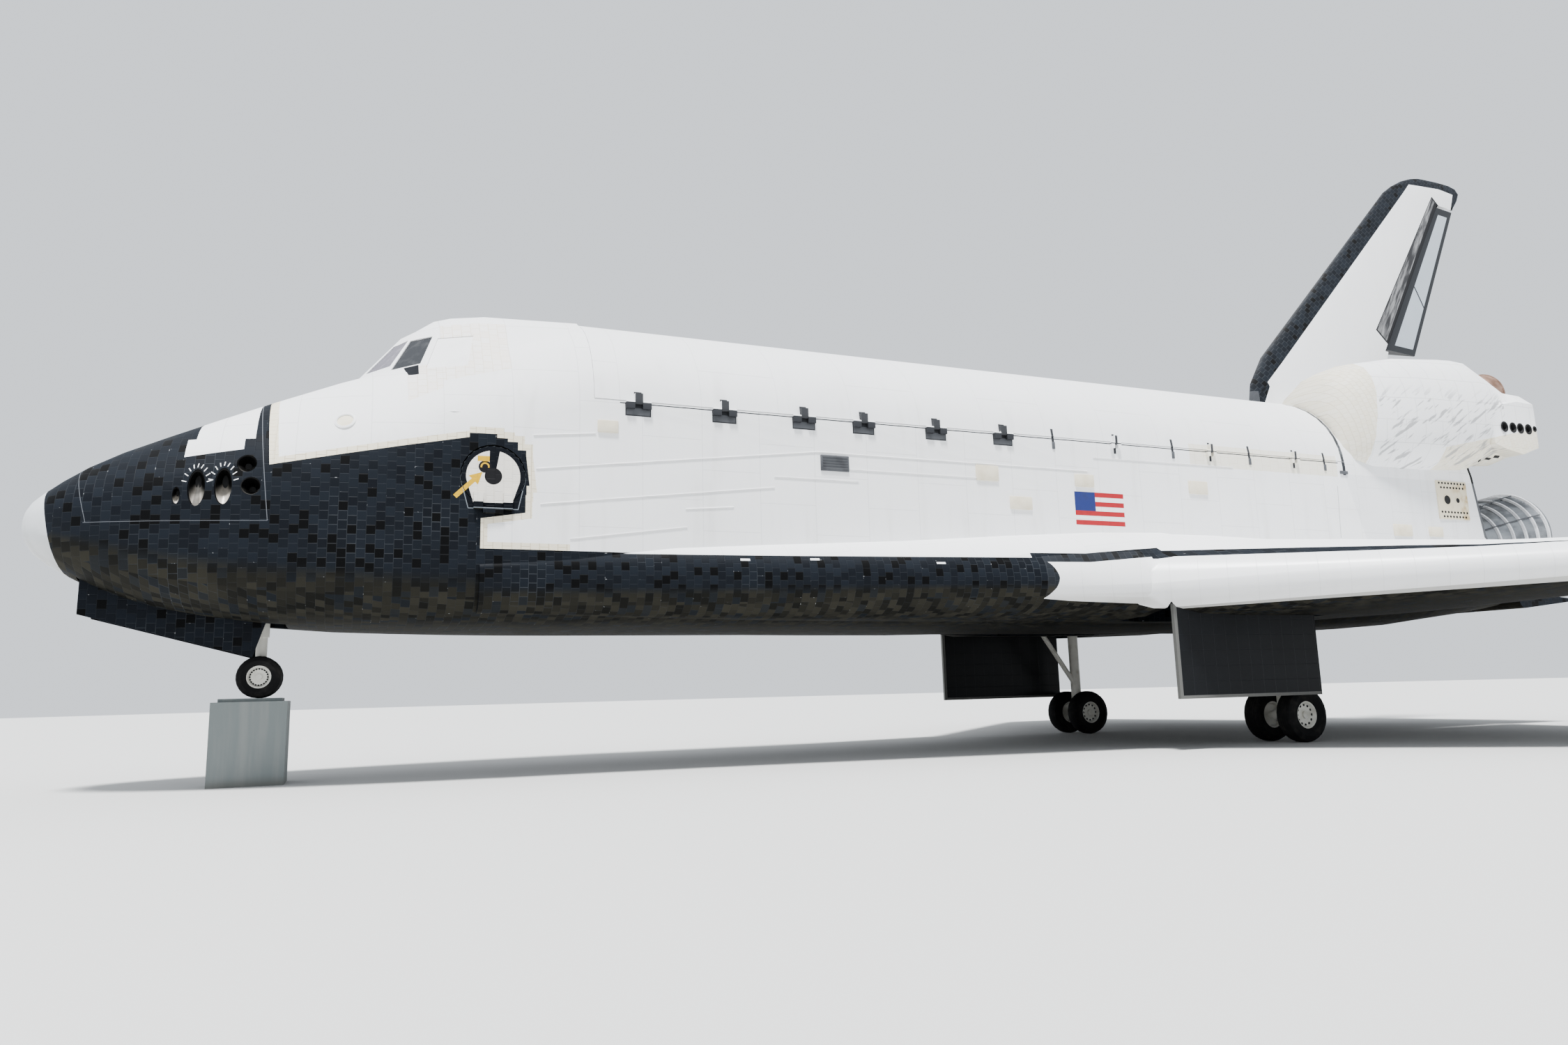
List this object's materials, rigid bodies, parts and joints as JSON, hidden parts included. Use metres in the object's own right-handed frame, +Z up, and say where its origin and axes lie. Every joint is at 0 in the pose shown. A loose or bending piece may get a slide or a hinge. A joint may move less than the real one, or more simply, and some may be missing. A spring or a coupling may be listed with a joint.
{
  "type": "space shuttle orbiter parked on its landing gear with a nose plinth, full size",
  "caption": "Winged space shuttle orbiter on its landing gear, with opening payload bay doors, hatch, elevons, rudder and body flap, its nose wheels on a plinth.",
  "frame": {"origin": "on the ground, under the middle of the craft's length and width", "axes": "+X runs aft along the craft, +Y to starboard, +Z up"},
  "size_m": [37.0586, 23.7896, 16.623],
  "materials": {
    "tile_white": "matte, off-white tile and blanket",
    "tile_black": "matte, charcoal tile",
    "nose_cap_grey": "satin, pale grey",
    "edge_white": "satin, white",
    "window_glass": "dark glass",
    "bell_steel": "satin steel with hoops",
    "nozzle_copper": "dull copper brown",
    "gear_white": "satin cream white",
    "tyre_rubber": "matte black rubber",
    "plinth_grey": "matte grey paint",
    "hinge_grey": "dark metal"
  },
  "bodies": {
    "root": {"nose_cap": "nose_cap_grey", "forward_fuselage": "tile_black", "windshield_port": "window_glass", "middle_window_port": "window_glass", "side_window_cover_port": "tile_white", "windshield_starboard": "window_glass", "middle_window_starboard": "window_glass", "side_window_cover_starboard": "tile_white", "mid_fuselage": "tile_white", "aft_fuselage": "tile_white", "wing_port": "tile_white", "leading_edge_port": "edge_white", "manoeuvring_pod_port": "tile_white", "manoeuvring_nozzle_port": "nozzle_copper", "main_gear_leg_port": "gear_white", "main_gear_door_port": "tile_black", "wing_starboard": "tile_white", "leading_edge_starboard": "edge_white", "manoeuvring_pod_starboard": "tile_white", "manoeuvring_nozzle_starboard": "nozzle_copper", "main_gear_leg_starboard": "gear_white", "main_gear_door_starboard": "tile_black", "vertical_tail": "tile_white", "main_engine_upper": "bell_steel", "main_engine_port": "bell_steel", "main_engine_starboard": "bell_steel", "nose_gear_leg": "gear_white", "nose_gear_door_port": "tile_black", "nose_gear_door_starboard": "tile_black", "nose_plinth": "plinth_grey"},
    "hatch": {"side_hatch": "tile_black"},
    "payload_door_port": {"payload_door_port": "tile_white"},
    "elevon_inboard_port": {"elevon_inboard_port": "tile_white"},
    "elevon_outboard_port": {"elevon_outboard_port": "tile_white"},
    "main_wheels_port": {"main_wheels_port": "gear_white", "main_tyre_inner_port": "tyre_rubber", "main_tyre_outer_port": "tyre_rubber"},
    "rudder_panel_port": {"rudder_panel_port": "tile_white"},
    "payload_door_starboard": {"payload_door_starboard": "tile_white"},
    "elevon_inboard_starboard": {"elevon_inboard_starboard": "tile_white"},
    "elevon_outboard_starboard": {"elevon_outboard_starboard": "tile_white"},
    "main_wheels_starboard": {"main_wheels_starboard": "gear_white", "main_tyre_inner_starboard": "tyre_rubber", "main_tyre_outer_starboard": "tyre_rubber"},
    "rudder_panel_starboard": {"rudder_panel_starboard": "tile_white"},
    "rudder": {"rudder_core": "hinge_grey"},
    "body_flap": {"body_flap": "tile_black"},
    "nose_fork": {"nose_gear_fork": "gear_white"},
    "nose_wheels": {"nose_wheels": "gear_white", "nose_tyre_port": "tyre_rubber", "nose_tyre_starboard": "tyre_rubber"}
  },
  "joints": [
    {"name": "side_hatch_swing", "type": "hinge", "parent": "root", "child": "hatch", "pos_m": [-11.43, -2.67208, 4.45135], "axis": [1, 0, 0], "range_deg": [0, 90]},
    {"name": "payload_door_port_swing", "type": "hinge", "parent": "root", "child": "payload_door_port", "pos_m": [-0.5334, -2.70764, 6.47065], "axis": [1, 0, 0], "range_deg": [0, 175.5]},
    {"name": "payload_door_starboard_swing", "type": "hinge", "parent": "root", "child": "payload_door_starboard", "pos_m": [-0.5334, 2.70764, 6.47065], "axis": [-1, 0, 0], "range_deg": [0, 175.5]},
    {"name": "elevon_inboard_port_swing", "type": "hinge", "parent": "root", "child": "elevon_inboard_port", "pos_m": [10.7061, -5.37083, 3.27025], "axis": [0, -1, 0], "range_deg": [-20, 35]},
    {"name": "elevon_outboard_port_swing", "type": "hinge", "parent": "root", "child": "elevon_outboard_port", "pos_m": [10.7061, -9.78662, 3.27025], "axis": [0, -1, 0], "range_deg": [-20, 35]},
    {"name": "elevon_inboard_starboard_swing", "type": "hinge", "parent": "root", "child": "elevon_inboard_starboard", "pos_m": [10.7061, 5.37083, 3.27025], "axis": [0, -1, 0], "range_deg": [-20, 35]},
    {"name": "elevon_outboard_starboard_swing", "type": "hinge", "parent": "root", "child": "elevon_outboard_starboard", "pos_m": [10.7061, 9.78662, 3.27025], "axis": [0, -1, 0], "range_deg": [-20, 35]},
    {"name": "body_flap_swing", "type": "hinge", "parent": "root", "child": "body_flap", "pos_m": [14.4399, 0, 3.16865], "axis": [0, -1, 0], "range_deg": [-22.5, 11.7]},
    {"name": "rudder_turn", "type": "hinge", "parent": "root", "child": "rudder", "pos_m": [14.1859, 0, 10.71245], "axis": [0.5327, 0, 0.8463], "range_deg": [-27.1, 27.1]},
    {"name": "speed_brake_starboard", "type": "hinge", "parent": "rudder", "child": "rudder_panel_starboard", "pos_m": [14.1859, 0, 10.71245], "axis": [0.5327, 0, 0.8463], "range_deg": [0, 49.3]},
    {"name": "speed_brake_port", "type": "hinge", "parent": "rudder", "child": "rudder_panel_port", "pos_m": [14.1859, 0, 10.71245], "axis": [-0.5327, 0, -0.8463], "range_deg": [0, 49.3]},
    {"name": "nose_steering", "type": "hinge", "parent": "root", "child": "nose_fork", "pos_m": [-14.9479, 0, 2.17805], "axis": [0, 0, 1], "range_deg": [-10, 10]},
    {"name": "nose_wheels_spin", "type": "hinge", "parent": "nose_fork", "child": "nose_wheels", "pos_m": [-14.9479, 0, 1.79608], "axis": [0, 1, 0], "continuous": true},
    {"name": "main_wheels_port_spin", "type": "hinge", "parent": "root", "child": "main_wheels_port", "pos_m": [4.9911, -3.4544, 0.56515], "axis": [0, 1, 0], "continuous": true},
    {"name": "main_wheels_starboard_spin", "type": "hinge", "parent": "root", "child": "main_wheels_starboard", "pos_m": [4.9911, 3.4544, 0.56515], "axis": [0, 1, 0], "continuous": true}
  ],
  "couplings": [
    {"joint": "speed_brake_port", "follows": "speed_brake_starboard", "ratio": 1}
  ]
}
